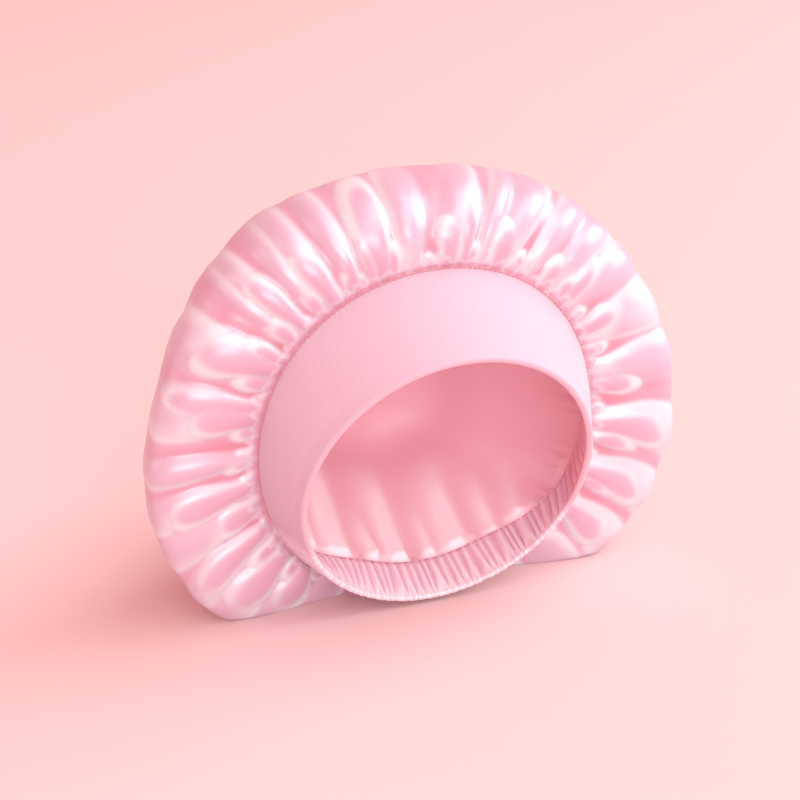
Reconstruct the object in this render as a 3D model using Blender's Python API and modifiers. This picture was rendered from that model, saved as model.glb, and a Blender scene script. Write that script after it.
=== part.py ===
"""Satin sleep bonnet: a puffed, gathered crown and its lining on a wide front band and an elastic nape casing.

Metres, +Z up. The mouth opens towards -Y and looks a little down. The bonnet rests on the flat sole that its
own weight presses into the bottom of the crown. The origin is on the floor, under the middle of the bonnet.

Everything is worked out around one circle, the rim of the mouth. An angle around it is 0 at the forehead
(top), grows towards +X, and is 180 degrees at the nape (bottom).
"""
import math

import bpy
import numpy as np

# --- Driving dimensions: the mouth --------------------------------------------------------------------------
RIM_RADIUS = 0.088              # a circle 553 mm round, an adult's head where the band sits
MOUTH_LEAN = math.radians(17)   # the mouth looks this far below the horizontal
RIM_FLOOR_GAP = 0.003           # the rim's lowest point above the floor
MOUTH_Y = -0.0585               # the middle of the mouth, which puts the origin under the middle of the bonnet
BAND_FLARE = 0.4                # growth of the band's radius for each metre behind the rim
BAND_WALL = 0.003               # two layers of soft cloth
RIM_ROLL = 0.0026               # radius of the soft fold along the rim
BAND_END = math.radians(110)    # the smooth band reaches this far round from the forehead on each side
SEWN_GAP = 0.0003               # between two pieces that are sewn to each other

# Width of the front band, and of the casing that carries on from it.
#              angle width
BAND_WIDTHS = ((0,   0.0590),
               (45,  0.0545),
               (90,  0.0395),
               (135, 0.0300),
               (180, 0.0280))

# --- Driving dimensions: the nape casing --------------------------------------------------------------------
CASING_RIBS = 24                # gathers that the elastic pulls into the casing
RIB_HEIGHT = 0.0012
RIB_SCALLOP = 0.0010            # how far the ribs push the rim in and out
RIB_FADE = 0.06                 # share of the casing, at each end, over which the ribs die out

# --- Driving dimensions: the crown --------------------------------------------------------------------------
CROWN_RISE = 0.0031             # the crown's middle line above the middle of the mouth
CROWN_DEPTH = 0.142             # from the middle of the mouth to the back of the crown
CROWN_WALL = 0.0015             # satin, with its pleats and seam allowance laid flat
FRONT_ROUNDNESS = 2.2           # exponents of the superellipse quarters, 2 being an ellipse
BACK_ROUNDNESS = 2.0
FRONT_PUFF = 0.007              # how far the gathers push the cloth forward between the seam and the fullest ring
NAPE_HOLLOW = (math.radians(115), math.radians(150))    # where the cloth starts to run straight back, and does
SOLE_SOFTNESS = 0.006           # how gradually the cloth turns from the floor up into the crown
SOLE_LIFT = 0.020               # height at which the folds are no longer pressed flat by the floor
VALLEY_SPREAD = math.radians(4.2)   # how far from its middle a valley has lost two thirds of its depth

# The fullest ring of the crown: its distance from the crown's middle line, and how far it lies behind the
# middle of the mouth.
#               angle radius  behind
FULLEST_RING = ((0,   0.1666, 0.0698),
                (30,  0.1712, 0.0657),
                (60,  0.1679, 0.0522),
                (90,  0.1657, 0.0462),
                (120, 0.1550, 0.0485),
                (150, 0.1312, 0.0557),
                (180, 0.1099, 0.0634))

# The deep valleys between the crown's main folds: the angle where each leaves the seam, how far it leans
# before the fullest ring, its depth, and how much of the way to that ring it reaches.
#           angle lean depth  reach
VALLEYS = ((-141, -3, 0.0020, 0.9),
           (-129, -4, 0.0030, 1.0),
           (-119, -5, 0.0030, 1.0),
           (-108, -6, 0.0040, 0.8),
           (-98,  -3, 0.0030, 0.5),
           (-90,  -1, 0.0040, 0.9),
           (-81,  -1, 0.0045, 0.7),
           (-66,   0, 0.0050, 0.9),
           (-50,   2, 0.0050, 1.0),
           (-39,   0, 0.0050, 1.1),
           (-28,   4, 0.0050, 1.0),
           (-17,   4, 0.0040, 0.9),
           (-2,    5, 0.0055, 1.1),
           (14,    9, 0.0050, 1.1),
           (25,    4, 0.0030, 0.6),
           (33,   14, 0.0050, 1.0),
           (53,    3, 0.0050, 1.1),
           (70,    6, 0.0030, 0.6),
           (86,   -1, 0.0055, 1.0),
           (102,   3, 0.0050, 1.1),
           (116,   4, 0.0040, 1.0),
           (128,   6, 0.0040, 1.0))

# --- Driving dimensions: the lining -------------------------------------------------------------------------
LINING_WALL = 0.0010
LINING_SLACK_SEWN = 0.0018      # clear space between the crown's wall and the lining, at the seam and the sole
LINING_SLACK_NAPE = 0.0050      # where the crown bends sharply at the nape
LINING_SLACK = 0.0075           # and elsewhere, where the crown's valleys come towards it

# --- How finely each piece is divided -----------------------------------------------------------------------
CROWN_COLUMNS, LINING_COLUMNS = 96, 48      # the lining shares every second meridian of the crown
FRONT_ROWS, BACK_ROWS = 6, 6                # and all its rows, so the two stay parallel
BAND_COLUMNS = 46
RIB_COLUMNS = 3
PANEL_POINTS = 3                # points of the section on each face, between the seam and the rolled rim
ROLL_POINTS = 5                 # points of the section around the rolled rim

BLUSH_SATIN = (0.93, 0.62, 0.68)
SALMON_SATIN = (0.87, 0.42, 0.46)
BAND_PINK = (0.91, 0.62, 0.70)


# --- The frame of the mouth ---------------------------------------------------------------------------------
MOUTH_MIDDLE = np.array((0.0, MOUTH_Y, RIM_RADIUS * math.cos(MOUTH_LEAN) + RIM_FLOOR_GAP))
CROWN_MIDDLE = MOUTH_MIDDLE + np.array((0.0, 0.0, CROWN_RISE))
MOUTH_AXES = np.array(((1.0, 0.0, 0.0),
                       (0.0, math.cos(MOUTH_LEAN), math.sin(MOUTH_LEAN)),
                       (0.0, -math.sin(MOUTH_LEAN), math.cos(MOUTH_LEAN))))


def round_the_mouth(angle, radius, depth):
    """Points at an angle round an axis along +Y, a radius from it and a depth behind the origin."""
    return np.stack(np.broadcast_arrays(radius * np.sin(angle), depth, radius * np.cos(angle)), axis=-1)


def mouth_to_world(points):
    """From the frame whose XZ plane holds the rim, and whose +Y goes into the bonnet, to the world's."""
    return points @ MOUTH_AXES + MOUTH_MIDDLE


def world_to_mouth(points):
    return (points - MOUTH_MIDDLE) @ MOUTH_AXES.T


def smooth_step(value):
    value = np.clip(value, 0.0, 1.0)
    return value * value * (3.0 - 2.0 * value)


def from_table(table, column, angle):
    """A column of a table of angles 0 to 180, read at any angle: the sum of cosines through every row."""
    rows = np.radians([row[0] for row in table])
    orders = np.arange(len(table))
    weights = np.linalg.solve(np.cos(rows[:, None] * orders), [row[column] for row in table])
    return np.cos(np.asarray(angle)[..., None] * orders) @ weights


def rest_on_floor(height, softness):
    """Heights with whatever is below the floor laid on it: a parabola from the floor up to the old height."""
    blend = (height + softness) ** 2 / (4.0 * softness)
    return np.where(height > softness, height, np.where(height < -softness, 0.0, blend))


# --- The crown's surface ------------------------------------------------------------------------------------
def seam_line(angle, outward, behind):
    """Points round the seam, some way outward from the band's outer face and behind the band's back edge."""
    width = from_table(BAND_WIDTHS, 1, angle)
    return mouth_to_world(round_the_mouth(angle, RIM_RADIUS + BAND_FLARE * width + outward, width + behind))


def nape_share(angle):
    """0 from the forehead to where the crown starts to be drawn in at the nape, and 1 where it fully is."""
    from_forehead = np.abs((angle + math.pi) % (2 * math.pi) - math.pi)
    return smooth_step((from_forehead - NAPE_HOLLOW[0]) / (NAPE_HOLLOW[1] - NAPE_HOLLOW[0]))


def valley_depth(angle, front):
    """How deep the valleys are at an angle and a share of the way from the seam to the fullest ring."""
    total = np.zeros(np.broadcast(angle, front).shape)
    for start, lean, depth, reach in VALLEYS:
        middle = np.radians(start + lean * front)
        off = (angle - middle + math.pi) % (2 * math.pi) - math.pi
        fades = smooth_step(front / 0.25) * (1.0 - smooth_step(front / reach - 0.45))
        total += depth * fades * np.exp(-(off / VALLEY_SPREAD) ** 2)
    return total


def outward_normals(points):
    """Unit normals of a grid that is closed along its second axis, from the differences of its neighbours."""
    across = np.roll(points, -1, axis=1) - np.roll(points, 1, axis=1)
    along = np.gradient(points, axis=0)
    normals = np.cross(across, along)
    normals /= np.maximum(np.linalg.norm(normals, axis=2, keepdims=True), 1e-12)
    normals[-1] = (0.0, 1.0, 0.0)
    return normals


def crown_surface(columns):
    """The crown's outer face in the world: meridians from the seam over the fullest ring to the back.

    Each meridian is a quarter of a superellipse from the seam to the fullest ring and another from there to
    the back. At the nape the first quarter runs back before it widens, because the cloth is drawn in there.
    Also gives, for each row, its share of the way from the seam to the fullest ring.
    """
    angle = np.linspace(0.0, 2 * math.pi, columns, endpoint=False)
    x, edge_depth, z = (seam_line(angle, SEWN_GAP, SEWN_GAP) - CROWN_MIDDLE).T
    edge_angle, edge_radius = np.arctan2(x, z), np.hypot(x, z)
    ring_radius = from_table(FULLEST_RING, 1, angle)
    ring_depth = from_table(FULLEST_RING, 2, angle)
    hollow = nape_share(angle)

    front = np.linspace(0.0, 1.0, FRONT_ROWS + 1)[:, None]
    turn = front * math.pi / 2
    widen = np.sin(turn) ** (2 / FRONT_ROUNDNESS) * (1 - hollow) + (1 - np.cos(turn)) * hollow
    deepen = np.cos(turn) ** (2 / FRONT_ROUNDNESS) * (1 - hollow) + (1 - np.sin(turn)) * hollow
    puff = FRONT_PUFF * 4 * front * (1 - front) * (1 - hollow)
    front_radius = edge_radius + (ring_radius - edge_radius) * widen
    front_depth = ring_depth - (ring_depth - edge_depth) * deepen - puff
    # The seam is round the mouth's axis and the ring round the crown's, so the angle slides from one to the other.
    slide = (angle - edge_angle + math.pi) % (2 * math.pi) - math.pi
    front_angle = edge_angle + slide * np.sin(turn)

    turn = np.linspace(0.0, 1.0, BACK_ROWS + 1)[1:, None] * math.pi / 2
    back_radius = ring_radius * np.cos(turn) ** (2 / BACK_ROUNDNESS)
    back_depth = ring_depth + (CROWN_DEPTH - ring_depth) * np.sin(turn) ** (2 / BACK_ROUNDNESS)
    back_angle = np.broadcast_to(angle, back_radius.shape)

    points = round_the_mouth(np.concatenate((front_angle, back_angle)),
                             np.concatenate((front_radius, back_radius)),
                             np.concatenate((front_depth, back_depth))) + CROWN_MIDDLE
    row_share = np.arange(len(points))[:, None] / FRONT_ROWS
    return settle(points, row_share), angle, row_share


def settle(points, front):
    """Lay the cloth that would be below the floor on it, and leave the sewn rows where they are."""
    height = points[..., 2]
    freedom = smooth_step(front / 0.3)
    laid = np.maximum(height + freedom * (rest_on_floor(height, SOLE_SOFTNESS) - height), 0.0)
    return np.concatenate((points[..., :2], laid[..., None]), axis=-1)


# --- Meshes and objects -------------------------------------------------------------------------------------
def new_material(name, colour, roughness):
    material = bpy.data.materials.new(name)
    material.use_nodes = True
    shader = material.node_tree.nodes["Principled BSDF"]
    shader.inputs["Base Color"].default_value = (*colour, 1.0)
    shader.inputs["Roughness"].default_value = roughness
    shader.inputs["Metallic"].default_value = 0.0
    return material


def new_object(name, vertices, faces, material, collection):
    mesh = bpy.data.meshes.new(name)
    mesh.from_pydata(vertices.tolist(), [], faces)
    mesh.materials.append(material)
    mesh.validate()
    mesh.shade_smooth()
    new = bpy.data.objects.new(name, mesh)
    collection.objects.link(new)
    return new


def grid_faces(rows, columns, last_row, last_column):
    """Four-sided faces of a grid, for as many rows and columns of faces as given; it wraps round at its end."""
    faces = []
    for row in range(last_row):
        this, following = row * columns, (row + 1) % rows * columns
        for column in range(last_column):
            right = (column + 1) % columns
            faces.append((this + column, this + right, following + right, following + column))
    return faces


def build_bag(name, points, wall, material, collection):
    """An open bag from rows of points that end in one point at the back, with its wall laid inside."""
    rows, columns = points.shape[:2]
    vertices = np.concatenate((points[:-1].reshape(-1, 3), points[-1, :1]))
    faces = grid_faces(rows - 1, columns, rows - 2, columns)
    innermost, tip = (rows - 2) * columns, (rows - 1) * columns
    faces += [(innermost + column, innermost + (column + 1) % columns, tip) for column in range(columns)]
    bag = new_object(name, vertices, faces, material, collection)
    thicken = bag.modifiers.new("wall", "SOLIDIFY")
    thicken.thickness = wall
    thicken.offset = -1.0
    return bag


def build_crown(material, collection):
    """The crown with its valleys pressed in, and its seam allowance behind the band's edge."""
    points, angle, front = crown_surface(CROWN_COLUMNS)
    depth = valley_depth(angle, front) * smooth_step(points[..., 2] / SOLE_LIFT)
    points = points - outward_normals(points) * depth[..., None]
    allowance = seam_line(angle, -BAND_WALL / 2, SEWN_GAP)
    return build_bag("crown", np.concatenate((allowance[None], points)), CROWN_WALL, material, collection)


def build_lining(material, collection):
    """The crown's surface drawn inward, clear of the crown's wall and valleys."""
    points, angle, front = crown_surface(LINING_COLUMNS)
    free = smooth_step(front / 0.2)
    loose = free * smooth_step(points[..., 2] / SOLE_LIFT)
    slack = LINING_SLACK_SEWN + (LINING_SLACK - LINING_SLACK_SEWN) * loose
    slack = np.maximum(slack, LINING_SLACK_NAPE * free * nape_share(angle))
    points = points - outward_normals(points) * (CROWN_WALL + slack)[..., None]
    sewn = CROWN_WALL + LINING_SLACK_SEWN
    points[0] = seam_line(angle, -sewn, SEWN_GAP + sewn)
    return build_bag("lining", points, LINING_WALL, material, collection)


def rolled_section(angle):
    """The section of the band: down its outer face, round the rolled rim, and back along its inner face.

    Rows go round the section and columns round the mouth. Gives the radius and the depth of every point.
    """
    width = from_table(BAND_WIDTHS, 1, angle)
    share = np.linspace(0.0, 1.0, PANEL_POINTS, endpoint=False)[:, None]
    roll = np.linspace(0.0, math.pi, ROLL_POINTS)[:, None]
    seam_radius = RIM_RADIUS + BAND_FLARE * width
    outer_radius = seam_radius + (RIM_RADIUS - seam_radius) * share
    outer_depth = width + (RIM_ROLL - width) * share
    inner_radius = seam_radius - BAND_WALL + (RIM_RADIUS - 2 * RIM_ROLL - seam_radius + BAND_WALL) * share[::-1]
    inner_depth = outer_depth[::-1]
    roll_radius = RIM_RADIUS - RIM_ROLL + RIM_ROLL * np.cos(roll) + 0.0 * width
    roll_depth = RIM_ROLL - RIM_ROLL * np.sin(roll) + 0.0 * width
    return (np.concatenate((outer_radius, roll_radius, inner_radius)),
            np.concatenate((outer_depth, roll_depth, inner_depth)))


def build_strip(name, angle, radius, depth, mouth, material, collection):
    """A solid strip round part of the mouth from its sections, with a flat cap at each end."""
    points = world_to_mouth(keep_off_floor(mouth_to_world(round_the_mouth(angle, radius, depth))))
    rows, columns = points.shape[:2]
    faces = [face[::-1] for face in grid_faces(rows, columns, rows, columns - 1)]
    near_cap = [row * columns for row in range(rows)]
    far_cap = [row * columns + columns - 1 for row in range(rows)]
    faces += [near_cap[::-1], far_cap]
    strip = new_object(name, points.reshape(-1, 3), faces, material, collection)
    strip.parent = mouth
    return strip


def keep_off_floor(points):
    """Cloth that would touch the floor or go through it is lifted a hair above it."""
    points[..., 2] = np.maximum(points[..., 2], SEWN_GAP)
    return points


def build_front_band(mouth, material, collection):
    angle = np.linspace(-BAND_END, BAND_END, BAND_COLUMNS + 1)
    radius, depth = rolled_section(angle)
    return build_strip("front_band", angle, radius, depth, mouth, material, collection)


def build_nape_casing(mouth, material, collection):
    """The band's section carried on round the nape, with ribs that wave its faces and scallop its rim."""
    sewn = SEWN_GAP / RIM_RADIUS
    share = np.linspace(0.0, 1.0, CASING_RIBS * RIB_COLUMNS + 1)
    angle = BAND_END + sewn + share * 2 * (math.pi - BAND_END - sewn)
    radius, depth = rolled_section(angle)
    fade = smooth_step(share / RIB_FADE) * smooth_step((1 - share) / RIB_FADE)
    wave = np.cos(2 * math.pi * CASING_RIBS * share) * fade
    middle = (radius[:1] + radius[-1:]) / 2
    along = depth / depth[:1]
    waist = 4 * along * (1 - along)
    radius = radius + np.sign(radius - middle) * RIB_HEIGHT * wave * waist
    depth = depth - RIB_SCALLOP * wave * (1 - along) ** 4
    return build_strip("nape_casing", angle, radius, depth, mouth, material, collection)


def remove_everything():
    for old in list(bpy.data.objects):
        bpy.data.objects.remove(old, do_unlink=True)


def main():
    remove_everything()
    bonnet = bpy.data.collections.new("sleep_bonnet")
    bpy.context.scene.collection.children.link(bonnet)
    mouth = bpy.data.objects.new("mouth", None)
    mouth.location = MOUTH_MIDDLE
    mouth.rotation_euler = (MOUTH_LEAN, 0.0, 0.0)
    bonnet.objects.link(mouth)

    blush = new_material("blush_satin", BLUSH_SATIN, 0.30)
    salmon = new_material("salmon_satin", SALMON_SATIN, 0.35)
    band_pink = new_material("band_pink", BAND_PINK, 0.80)
    casing_pink = new_material("casing_satin", BLUSH_SATIN, 0.35)
    build_crown(blush, bonnet)
    build_lining(salmon, bonnet)
    build_front_band(mouth, band_pink, bonnet)
    build_nape_casing(mouth, casing_pink, bonnet)


main()
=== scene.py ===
# %% [markdown]
# # A satin sleep bonnet
#
# The bonnet is a puffed bag of satin that is gathered onto a wide, smooth band. At the nape the band becomes
# a casing with elastic in it, and a second bag of darker satin lines the inside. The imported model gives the
# sizes and the places. This script gives every surface its folds, its stitches and its cloth.

import math

import bpy
import numpy as np
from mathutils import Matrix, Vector


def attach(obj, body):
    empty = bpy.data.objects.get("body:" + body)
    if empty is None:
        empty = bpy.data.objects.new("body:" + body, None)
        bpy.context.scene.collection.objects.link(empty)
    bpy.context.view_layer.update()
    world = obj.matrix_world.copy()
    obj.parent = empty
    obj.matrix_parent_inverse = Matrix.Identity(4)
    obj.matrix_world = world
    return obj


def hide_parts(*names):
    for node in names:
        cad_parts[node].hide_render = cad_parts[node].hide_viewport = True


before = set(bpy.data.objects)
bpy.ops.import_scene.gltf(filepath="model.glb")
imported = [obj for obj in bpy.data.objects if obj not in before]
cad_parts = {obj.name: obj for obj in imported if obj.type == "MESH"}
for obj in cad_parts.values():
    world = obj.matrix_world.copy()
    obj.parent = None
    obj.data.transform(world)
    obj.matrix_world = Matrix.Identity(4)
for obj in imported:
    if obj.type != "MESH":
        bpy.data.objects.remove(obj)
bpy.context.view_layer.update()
print("nodes:", sorted(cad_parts))

# %% [markdown]
# ## The camera and the light
#
# The camera stands where the photograph was taken from: a little above the bonnet and to its right-hand
# side, with a long lens, so that the rim is drawn as a clean ellipse. Satin is lit by what it mirrors. Large
# soft panels above and to the sides give the wide pale highlights on the flanks of the folds. A lower one,
# a little to the right of the camera, reaches into the mouth. The panels are a little blue and the room is
# red, so that shadows turn salmon and the crests stay a cool pink, as on pink paper.

# %% The camera
CAMERA_AZIMUTH, CAMERA_ELEVATION = math.radians(-21.9), math.radians(22.0)
CAMERA_DISTANCE = 1.15
CAMERA_TARGET = np.array((-0.032, -0.0585, 0.14515))
FOCAL_LENGTH, SENSOR_WIDTH = 93.4, 36.0  # millimetres
NEAREST, FARTHEST = 0.01, 50.0  # metres


def direction(azimuth, elevation):
    """The unit vector (sin a cos e, -cos a cos e, sin e) from the bonnet towards a place round it."""
    return np.array((math.sin(azimuth) * math.cos(elevation),
                     -math.cos(azimuth) * math.cos(elevation), math.sin(elevation)))


def aim(thing, place, target):
    """Put a camera or a lamp at a place and turn it towards its target."""
    thing.location = place
    thing.rotation_mode = "QUATERNION"
    thing.rotation_quaternion = Vector(np.subtract(target, place)).to_track_quat("-Z", "Y")


def add_camera():
    lens = bpy.data.cameras.new("camera")
    lens.lens, lens.sensor_width = FOCAL_LENGTH, SENSOR_WIDTH
    lens.clip_start, lens.clip_end = NEAREST, FARTHEST
    camera = bpy.data.objects.new("camera", lens)
    bpy.context.scene.collection.objects.link(camera)
    towards_camera = direction(CAMERA_AZIMUTH, CAMERA_ELEVATION)
    aim(camera, CAMERA_TARGET + CAMERA_DISTANCE * towards_camera, CAMERA_TARGET)
    bpy.context.scene.camera = camera


add_camera()

# %% The soft lights and the pale pink room
LIT_POINT, PANEL_DISTANCE = np.array((0.0, 0.0, 0.1)), 5.0
PANEL_BLUE, FILL_BLUE = (0.86, 0.99, 1.00), (0.88, 0.99, 1.00)
#              name      azimuth elev. width height brightness colour
SOFT_LIGHTS = (("right",   88.0,  28.0, 4.0, 3.4, 4.4, PANEL_BLUE),
               ("top",     70.0,  66.0, 4.0, 3.0, 1.8, PANEL_BLUE),
               ("left",  -100.0,  22.0, 3.4, 3.0, 0.8, PANEL_BLUE),
               ("front",    5.0,  50.0, 4.0, 3.0, 1.6, PANEL_BLUE),
               ("fill",    -5.0,  17.0, 3.6, 2.2, 4.3, FILL_BLUE))
ROOM_COLOUR, ROOM_STRENGTH = (1.0, 0.44, 0.41), 0.85


def add_light(name, azimuth, elevation, width, height, brightness, colour):
    """A soft panel that faces the bonnet. Its power is pi times its area times its brightness."""
    panel = bpy.data.lights.new(name, "AREA")
    panel.shape = "RECTANGLE"
    panel.size, panel.size_y = width, height
    panel.energy = math.pi * width * height * brightness
    panel.color = colour
    lamp = bpy.data.objects.new(name, panel)
    bpy.context.scene.collection.objects.link(lamp)
    towards_panel = direction(math.radians(azimuth), math.radians(elevation))
    aim(lamp, LIT_POINT + PANEL_DISTANCE * towards_panel, LIT_POINT)


def add_room():
    world = bpy.data.worlds.new("room")
    world.use_nodes = True
    background = world.node_tree.nodes["Background"]
    background.inputs["Color"].default_value = (*ROOM_COLOUR, 1.0)
    background.inputs["Strength"].default_value = ROOM_STRENGTH
    bpy.context.scene.world = world
    bpy.context.scene.view_settings.view_transform = "Standard"


for row in SOFT_LIGHTS:
    add_light(*row)
add_room()
print("lights:", [row[0] for row in SOFT_LIGHTS])

# %% [markdown]
# ## The frame of the mouth, and tools that every piece shares
#
# The bonnet is built round one circle, the rim of its mouth. The circle leans 17 degrees, so that it looks a
# little down at the floor. An angle round it is 0 at the forehead, grows towards +X and is 180 degrees at the
# nape. Every piece below is a grid: one direction runs round the mouth, and the other runs away from it.

# %% The mouth's circle
RIM_RADIUS, MOUTH_LEAN = 0.088, math.radians(17)
RIM_FLOOR_GAP, MOUTH_Y = 0.003, -0.0585
BAND_FLARE, BAND_WALL = 0.4, 0.003  # radius gained for each metre away from the rim, and thickness
BAND_END = math.radians(110)
MOUTH_MIDDLE = np.array((0.0, MOUTH_Y, RIM_RADIUS * math.cos(MOUTH_LEAN) + RIM_FLOOR_GAP))
MOUTH_AXES = np.array(((1.0, 0.0, 0.0),
                       (0.0, math.cos(MOUTH_LEAN), math.sin(MOUTH_LEAN)),
                       (0.0, -math.sin(MOUTH_LEAN), math.cos(MOUTH_LEAN))))
#              angle width of the band
BAND_WIDTHS = ((0,   0.0590),
               (45,  0.0545),
               (90,  0.0395),
               (135, 0.0300),
               (180, 0.0280))


def round_the_mouth(angle, radius, depth):
    """Points (r sin a, d, r cos a): an angle round an axis along +Y, a radius from it, a depth along it."""
    return np.stack(np.broadcast_arrays(radius * np.sin(angle), depth, radius * np.cos(angle)), axis=-1)


def mouth_to_world(points):
    """From the frame whose XZ plane holds the rim to the world: turned by the lean, moved to the middle."""
    return points @ MOUTH_AXES + MOUTH_MIDDLE


def wrapped(angle):
    """The same angle between -pi and pi."""
    return (angle + math.pi) % (2 * math.pi) - math.pi


def from_table(table, column, angle):
    """A column of a table of angles 0 to 180, read at any angle: the sum of cosines through every row."""
    rows = np.radians([row[0] for row in table])
    orders = np.arange(len(table))
    weights = np.linalg.solve(np.cos(rows[:, None] * orders), [row[column] for row in table])
    return np.cos(np.asarray(angle)[..., None] * orders) @ weights


def band_width(angle):
    return from_table(BAND_WIDTHS, 1, angle)


# %% Curves that fade in and out, and slow noise
NOISE_TERMS, NOISE_DIVISOR = 9, 4.0


def smooth_step(value):
    """3 t^2 - 2 t^3 of the value held between 0 and 1."""
    value = np.clip(value, 0.0, 1.0)
    return value * value * (3.0 - 2.0 * value)


def rises(value, start, length):
    """0 up to the start, 1 from a length further on, and a smooth step between them."""
    return smooth_step((value - start) / length)


def falls(value, start, length):
    """1 up to the start and 0 from a length further on."""
    return 1.0 - rises(value, start, length)


def bell(value, middle, width):
    """e ^ -t^2, where t is the distance from the middle over the width."""
    return np.exp(-((value - middle) / width) ** 2)


def smooth_noise(shape_u, shape_v, waves_u, waves_v, seed):
    """A sum of cosines cos(m u + n v + phase), about -1 to 1. Whole m close it round the mouth."""
    random = np.random.default_rng(seed)
    total = np.zeros(np.broadcast(shape_u, shape_v).shape)
    for _ in range(NOISE_TERMS):
        m = random.integers(waves_u[0], waves_u[1] + 1)
        n = random.uniform(*waves_v)
        total = total + np.cos(m * shape_u + n * shape_v + random.uniform(0, 2 * math.pi))
    return total / NOISE_DIVISOR


# %% From a grid of points to a piece
SHORTEST = 1e-12  # keeps a normal of no length from being divided by 0


def normals_of(points):
    """Unit normals of a grid that closes round the mouth: the cross product of its differences both ways."""
    across = np.roll(points, -1, axis=1) - np.roll(points, 1, axis=1)
    normals = np.cross(across, np.gradient(points, axis=0))
    return normals / np.maximum(np.linalg.norm(normals, axis=2, keepdims=True), SHORTEST)


def grid_faces(rows, columns):
    """The corners of every four-sided face of a grid whose last column meets its first, as one array."""
    index = np.arange(rows * columns).reshape(rows, columns)
    index = np.concatenate((index, index[:, :1]), axis=1)
    corners = (index[:-1, :-1], index[:-1, 1:], index[1:, 1:], index[1:, :-1])
    return np.stack(corners, axis=-1).reshape(-1, 4)


def corner_uv(mesh, uv, period):
    """The UV of each face's corners. A face across the wrap has its low side moved on by the period."""
    vertex = np.empty(len(mesh.loops), dtype=np.int32)
    mesh.loops.foreach_get("vertex_index", vertex)
    corner = uv.reshape(-1, 2)[vertex].astype(np.float64)
    if period:
        start = np.empty(len(mesh.polygons), dtype=np.int32)
        mesh.polygons.foreach_get("loop_start", start)
        widest = np.maximum.reduceat(corner[:, 0], start) - np.minimum.reduceat(corner[:, 0], start)
        crossing = np.repeat(widest > period / 2, np.diff(np.append(start, len(vertex))))
        corner[crossing & (corner[:, 0] < period / 2), 0] += period
    return corner


def new_piece(name, points, faces, material, uv=None, period=0.0):
    """A mesh object from an array of points and one of faces (three or four corners), shaded smooth."""
    mesh = bpy.data.meshes.new(name)
    mesh.from_pydata(points.reshape(-1, 3).tolist(), [], [list(face) for face in faces])
    if uv is not None:
        layer = mesh.uv_layers.new(name="cloth")
        layer.data.foreach_set("uv", corner_uv(mesh, uv, period).astype(np.float32).ravel())
    mesh.materials.append(material)
    mesh.shade_smooth()
    piece = bpy.data.objects.new(name, mesh)
    bpy.context.scene.collection.objects.link(piece)
    triangles = sum(len(polygon.vertices) - 2 for polygon in mesh.polygons)
    area = sum(polygon.area for polygon in mesh.polygons)
    print(f"{name}: {len(mesh.vertices)} points, {triangles} triangles, {area:.4f} square metres")
    return piece


def paint(piece, name, values):
    """Give every point of a piece a number, which its material can read."""
    attribute = piece.data.attributes.new(name, "FLOAT", "POINT")
    attribute.data.foreach_set("value", values.astype(np.float32))


# %% [markdown]
# ## The cloths
#
# Satin floats its threads on the face, so it mirrors softly and in streaks: a pink body under a wide, pale
# gloss, partly real gloss and partly a highlight painted on the rims of the folds, with shade painted in
# their valleys. The band is a brushed, matt cloth with a fine diagonal rib, whose fibres catch the light at
# its edges. Both are thin enough to let some light through.

# %% Colours, and helpers that wire up a material
# The pale colours are painted highlights on the rims of folds, streaks and ribs, and also the threads' paler
# tint.
CROWN_PINK, CROWN_PAINTED_HIGHLIGHT = (0.78, 0.52, 0.69), (0.88, 0.96, 1.00)
LINING_SALMON, LINING_PAINTED_HIGHLIGHT = (0.84, 0.465, 0.545), (1.00, 0.92, 0.97)
CASING_PINK, CASING_PAINTED_HIGHLIGHT = (0.86, 0.54, 0.73), (1.00, 0.96, 1.00)
PAINTED_VALLEY_SHADE = (0.76, 0.23, 0.33)  # painted shade, deep in the folds of every satin
BAND_PINK, BAND_SALMON = (0.72, 0.52, 0.625), (0.94, 0.54, 0.635)
THREAD_DEEP, THREAD_PALE = (0.84, 0.27, 0.33), (0.92, 0.41, 0.47)
BUMP_STRENGTH = 0.6


def feed(material, added, inputs):
    """Give a node its inputs, by name or by place: another node's output is linked, a plain value is set."""
    for name, value in inputs.items():
        socket = added.inputs[name]
        if isinstance(value, bpy.types.NodeSocket):
            material.node_tree.links.new(value, socket)
        else:
            socket.default_value = (*value, 1.0) if socket.type == "RGBA" else value


def node(material, kind, inputs, **settings):
    """Add a node to a material, set its properties and give it its inputs."""
    added = material.node_tree.nodes.new(kind)
    for name, value in settings.items():
        setattr(added, name, value)
    feed(material, added, inputs)
    return added


def new_material(name, colour, roughness, more):
    """A material and its Principled shader, with a colour, a roughness and some more inputs."""
    material = bpy.data.materials.new(name)
    material.use_nodes = True
    shader = material.node_tree.nodes["Principled BSDF"]
    feed(material, shader, {"Base Color": colour, "Roughness": roughness, **more})
    return material, shader


def cloth_place(material):
    """Where a point is on the piece's own cloth, in metres."""
    return node(material, "ShaderNodeUVMap", {}, uv_map="cloth").outputs["UV"]


def painted(material, name):
    """The number that the piece's points were given under a name."""
    return node(material, "ShaderNodeAttribute", {}, attribute_name=name).outputs["Fac"]


def mixed(material, amount, first, second):
    """A colour that goes from the first to the second as the amount goes from 0 to 1."""
    mix = node(material, "ShaderNodeMix", {0: amount, 6: first, 7: second}, data_type="RGBA")
    return mix.outputs[2]  # this node has its colours at inputs 6 and 7 and at output 2


def between(material, value, low, high):
    """A number that goes from low to high as the value goes from 0 to 1."""
    reach = node(material, "ShaderNodeMapRange", {"Value": value, "To Min": low, "To Max": high})
    return reach.outputs["Result"]


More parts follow.
